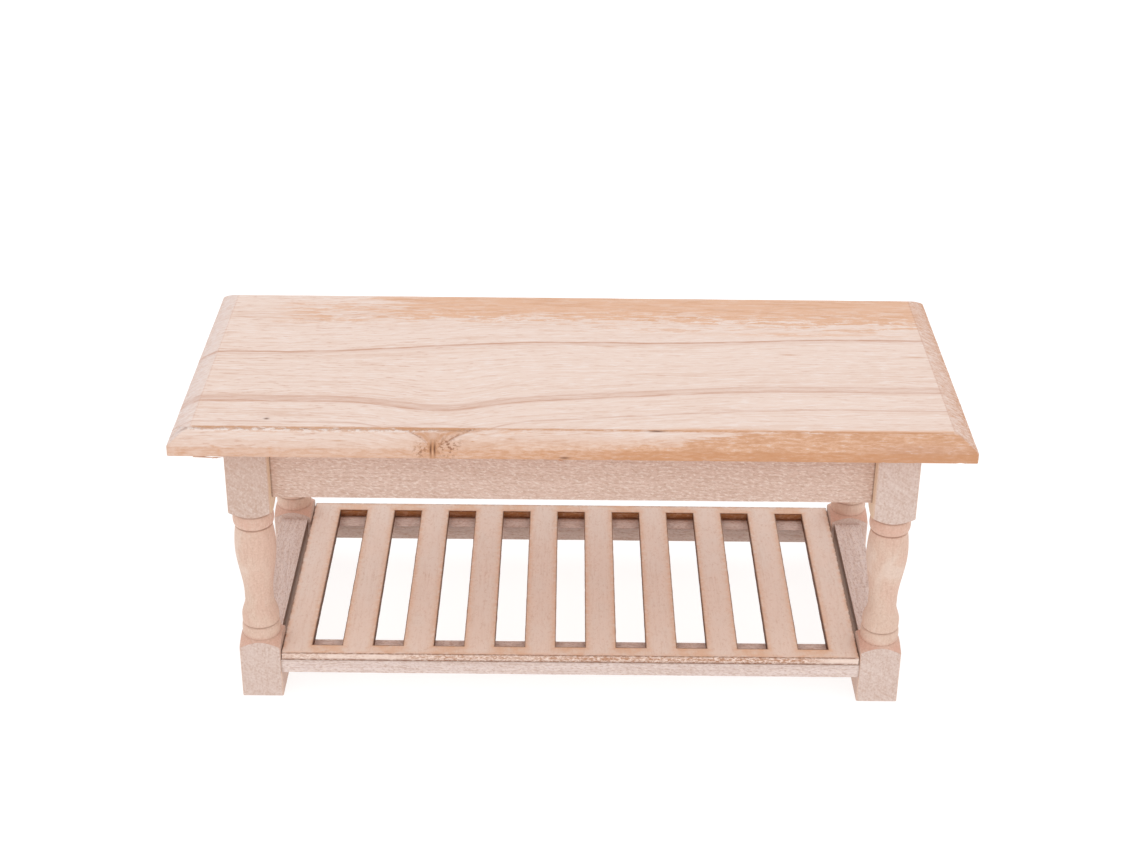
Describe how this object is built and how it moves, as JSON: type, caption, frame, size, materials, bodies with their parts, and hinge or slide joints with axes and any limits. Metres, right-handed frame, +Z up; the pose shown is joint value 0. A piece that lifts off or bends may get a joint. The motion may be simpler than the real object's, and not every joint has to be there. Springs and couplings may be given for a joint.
{
  "type": "miniature dining table",
  "caption": "Bare wooden dolls' house dining table with a moulded top, turned legs, aprons and a slatted shelf between the feet.",
  "frame": {"origin": "on the floor under the middle of the table", "axes": "+Z up, +X along the table's length, -Y towards the front"},
  "size_m": [0.1524, 0.0682, 0.0622],
  "materials": {
    "top_wood": "bare sawn softwood, unfinished",
    "leg_wood": "bare turned hardwood, sanded",
    "frame_wood": "bare sawn wood, unfinished",
    "shelf_plywood": "bare plywood with scorched cut edges"
  },
  "bodies": {
    "root": {"table_top": "top_wood", "leg_front_left": "leg_wood", "leg_front_right": "leg_wood", "leg_rear_left": "leg_wood", "leg_rear_right": "leg_wood", "apron_front": "frame_wood", "apron_rear": "frame_wood", "apron_left": "frame_wood", "apron_right": "frame_wood", "shelf_rail_front": "frame_wood", "shelf_rail_rear": "frame_wood", "stretcher_left": "frame_wood", "stretcher_right": "frame_wood", "slatted_shelf": "shelf_plywood"}
  },
  "joints": []
}
